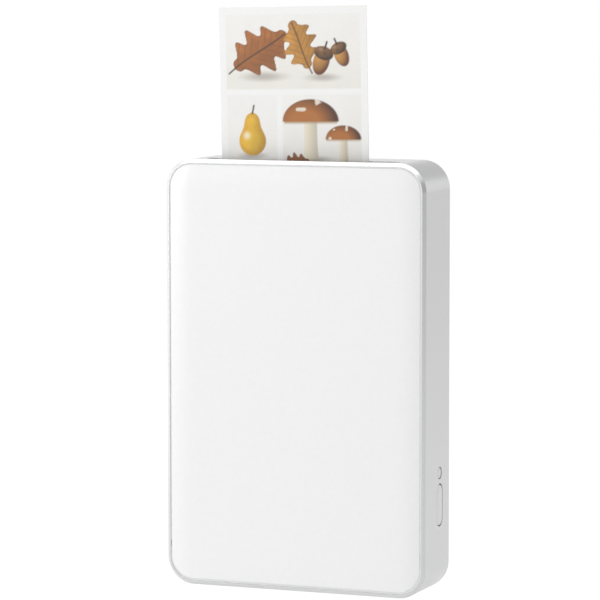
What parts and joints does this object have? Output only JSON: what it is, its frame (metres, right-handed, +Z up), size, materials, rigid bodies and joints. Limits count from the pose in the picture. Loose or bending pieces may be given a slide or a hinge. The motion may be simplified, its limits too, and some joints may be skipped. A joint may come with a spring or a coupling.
{
  "type": "compact photo printer",
  "caption": "Pocket photo printer in a silver ring frame with a hinged white cover, a side button and a print leaving its top slot.",
  "frame": {"origin": "middle of the bottom face on which it stands", "axes": "+Z up along the height, +X to the right seen from the front, front cover at -Y"},
  "size_m": [0.0881, 0.0245, 0.1859],
  "materials": {
    "silver_paint": "satin silver paint on moulded plastic",
    "pearl_white": "semi-gloss pearl white",
    "black_plastic": "fine matt moulding",
    "natural_acetal": "natural acetal, satin",
    "bright_steel": "bright rolled steel",
    "dark_screw": "black oxide",
    "magnet_nickel": "nickel plate",
    "photo_paper": "coated photo paper",
    "cork_pad": "matt friction pad",
    "head_ceramic": "glazed ceramic board",
    "heat_sink": "extruded, plain",
    "flex_film": "polyimide film",
    "roller_rubber": "ground silicone rubber",
    "pinion_brass": "hobbed brass",
    "board_green": "solder mask",
    "part_black": "moulded packages",
    "led_lens": "milky light pipe",
    "battery_foil": "pouch foil",
    "tape": "double-sided tape",
    "lead_red": "silicone insulation"
  },
  "bodies": {
    "housing": {"mid_frame": "silver_paint", "back_plate": "silver_paint", "chassis": "black_plastic", "tray_floor": "black_plastic", "chassis_magnets": "magnet_nickel", "hinge_pins": "bright_steel", "paper_stack": "photo_paper", "separation_pad": "cork_pad", "print_head": "head_ceramic", "head_heat_sink": "heat_sink", "head_spring": "bright_steel", "head_screws": "dark_screw", "head_flex": "flex_film", "platen_bushes": "natural_acetal", "pickup_bushes": "natural_acetal", "motor": "bright_steel", "motor_screws": "dark_screw", "gear_pins": "bright_steel", "gear_plate": "bright_steel", "gear_plate_screws": "dark_screw", "paper_sensor": "part_black", "main_board": "board_green", "shield_can": "bright_steel", "board_parts": "part_black", "board_screws": "dark_screw", "usb_socket": "bright_steel", "switch_body": "part_black", "status_led": "led_lens", "light_pipe": "led_lens", "battery": "battery_foil", "battery_tape": "tape", "battery_leads": "lead_red", "chassis_screws": "dark_screw", "back_screws": "dark_screw"},
    "cover": {"front_cover": "pearl_white", "cover_magnets": "magnet_nickel", "plate_springs": "bright_steel"},
    "paper_press": {"pressure_plate": "bright_steel"},
    "button": {"power_button": "silver_paint", "switch_plunger": "part_black"},
    "print": {"printed_sheet": "photo_paper"},
    "platen": {"platen_shaft": "bright_steel", "platen_rubber": "roller_rubber", "platen_clip": "bright_steel", "platen_gear": "natural_acetal"},
    "pickup": {"pickup_shaft": "bright_steel", "pickup_hub": "natural_acetal", "pickup_tyre": "roller_rubber", "pickup_clip": "bright_steel", "pickup_gear": "natural_acetal"},
    "idler": {"idler_gear": "natural_acetal"},
    "second_reducer": {"second_gear": "natural_acetal"},
    "first_reducer": {"first_gear": "natural_acetal"},
    "motor_rotor": {"motor_shaft": "bright_steel", "motor_pinion": "pinion_brass"}
  },
  "joints": [
    {"name": "cover_hinge", "type": "hinge", "parent": "housing", "child": "cover", "pos_m": [0, -0.0085, 0.0105], "axis": [1, 0, 0], "range_deg": [0, 90]},
    {"name": "plate_press", "type": "slide", "parent": "cover", "child": "paper_press", "axis": [0, 1, 0], "range_m": [-0.0009, 0], "stiffness_N_per_m": 250, "springref_m": 0.001, "deforming": ["plate_springs"]},
    {"name": "button_press", "type": "slide", "parent": "housing", "child": "button", "axis": [-1, 0, 0], "range_m": [0, 0.0004], "stiffness_N_per_m": 400},
    {"name": "sheet_feed", "type": "slide", "parent": "housing", "child": "print", "axis": [0, 0, 1], "range_m": [-0.07281, 0.01159]},
    {"name": "platen_spin", "type": "hinge", "parent": "housing", "child": "platen", "pos_m": [0, -0.0002, 0.121], "axis": [1, 0, 0], "continuous": true},
    {"name": "pickup_spin", "type": "hinge", "parent": "housing", "child": "pickup", "pos_m": [0, 0.0008, 0.098], "axis": [1, 0, 0], "continuous": true},
    {"name": "idler_spin", "type": "hinge", "parent": "housing", "child": "idler", "pos_m": [0, -0.00161, 0.11005], "axis": [1, 0, 0], "continuous": true},
    {"name": "second_spin", "type": "hinge", "parent": "housing", "child": "second_reducer", "pos_m": [0, 0.0002, 0.08898], "axis": [1, 0, 0], "continuous": true},
    {"name": "first_spin", "type": "hinge", "parent": "housing", "child": "first_reducer", "pos_m": [0, 0.0002, 0.07869], "axis": [1, 0, 0], "continuous": true},
    {"name": "motor_spin", "type": "hinge", "parent": "housing", "child": "motor_rotor", "pos_m": [0, 0.00367, 0.06847], "axis": [1, 0, 0], "continuous": true}
  ],
  "couplings": [
    {"joint": "platen_spin", "follows": "sheet_feed", "rad_per_m": -250},
    {"joint": "pickup_spin", "follows": "sheet_feed", "rad_per_m": -200},
    {"joint": "idler_spin", "follows": "sheet_feed", "rad_per_m": 208.33},
    {"joint": "second_spin", "follows": "sheet_feed", "rad_per_m": 454.55},
    {"joint": "first_spin", "follows": "sheet_feed", "rad_per_m": -1239.7},
    {"joint": "motor_spin", "follows": "sheet_feed", "rad_per_m": 4090.9}
  ]
}
